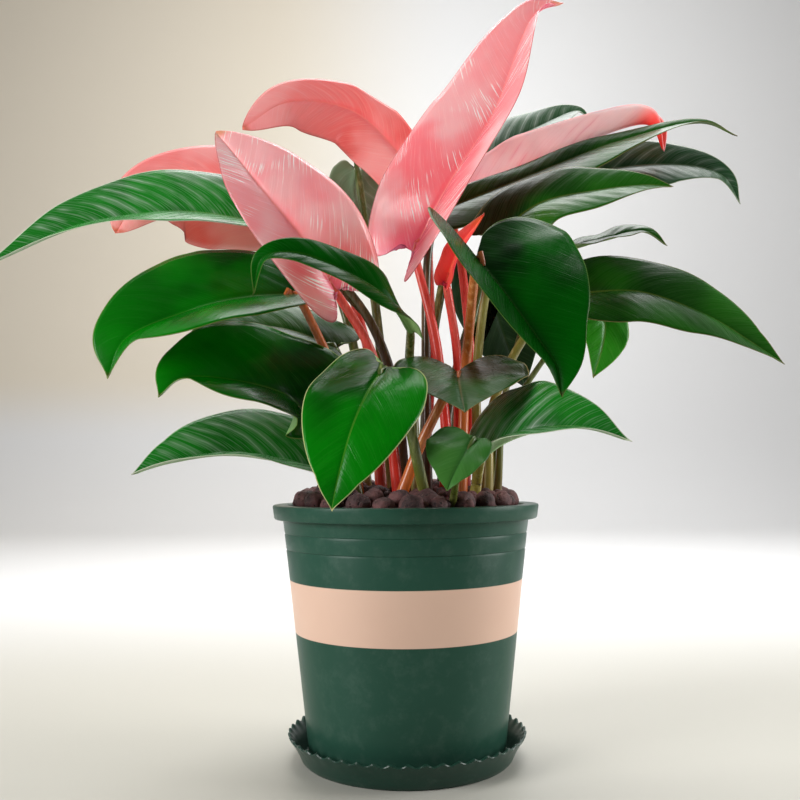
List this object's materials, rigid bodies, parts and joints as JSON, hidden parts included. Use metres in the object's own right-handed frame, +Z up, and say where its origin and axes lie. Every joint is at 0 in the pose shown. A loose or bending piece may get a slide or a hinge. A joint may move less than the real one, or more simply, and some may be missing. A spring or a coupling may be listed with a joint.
{
  "type": "potted pink-leaved philodendron",
  "caption": "Leafy philodendron clump with pink young leaves and dark green older leaves in a tapered round plastic pot on a scalloped saucer.",
  "frame": {"origin": "centre of the saucer's flat underside", "axes": "+Z up; -Y toward the side with the heart-shaped leaf that hangs over the rim; +X to the right seen from there"},
  "size_m": [0.5032, 0.2208, 0.5023],
  "materials": {
    "pot_plastic": "satin dark green plastic with a pale band",
    "saucer_plastic": "satin very dark green plastic",
    "soil": "moist potting mix",
    "clay": "rough porous baked clay, purple brown",
    "blade_pink": "glossy pink young leaf with pale streaks",
    "blade_green": "glossy dark green leaf with paler veins and a thin pale margin",
    "blade_young": "rolled orange-red new leaf",
    "petiole_pink": "glossy red stalk",
    "petiole_green": "glossy olive stalk, orange brown in places",
    "petiole_young": "glossy orange-red stalk"
  },
  "bodies": {
    "root": {"blade_green_1": "blade_green", "blade_green_10": "blade_green", "blade_green_11": "blade_green", "blade_green_12a": "blade_green", "blade_green_12b": "blade_green", "blade_green_12c": "blade_green", "blade_green_13": "blade_green", "blade_green_14": "blade_green", "blade_green_15": "blade_green", "blade_green_16": "blade_green", "blade_green_17": "blade_green", "blade_green_18": "blade_green", "blade_green_2": "blade_green", "blade_green_3": "blade_green", "blade_green_3b": "blade_green", "blade_green_4": "blade_green", "blade_green_5": "blade_green", "blade_green_6": "blade_green", "blade_green_7": "blade_green", "blade_green_8": "blade_green", "blade_green_9": "blade_green", "blade_pink_1": "blade_pink", "blade_pink_2": "blade_pink", "blade_pink_3": "blade_pink", "blade_pink_4": "blade_pink", "blade_pink_5": "blade_pink", "blade_pink_6": "blade_young", "clay_pebbles": "clay", "petiole_green_1": "petiole_green", "petiole_green_10": "petiole_green", "petiole_green_11": "petiole_green", "petiole_green_12a": "petiole_green", "petiole_green_12b": "petiole_green", "petiole_green_12c": "petiole_green", "petiole_green_13": "petiole_green", "petiole_green_14": "petiole_green", "petiole_green_15": "petiole_green", "petiole_green_16": "petiole_green", "petiole_green_17": "petiole_green", "petiole_green_18": "petiole_green", "petiole_green_2": "petiole_green", "petiole_green_3": "petiole_green", "petiole_green_3b": "petiole_green", "petiole_green_4": "petiole_green", "petiole_green_5": "petiole_green", "petiole_green_6": "petiole_green", "petiole_green_7": "petiole_green", "petiole_green_8": "petiole_green", "petiole_green_9": "petiole_green", "petiole_pink_1": "petiole_pink", "petiole_pink_2": "petiole_pink", "petiole_pink_3": "petiole_pink", "petiole_pink_4": "petiole_pink", "petiole_pink_5": "petiole_pink", "petiole_pink_6": "petiole_young", "pot": "pot_plastic", "saucer": "saucer_plastic", "soil": "soil"}
  },
  "joints": []
}
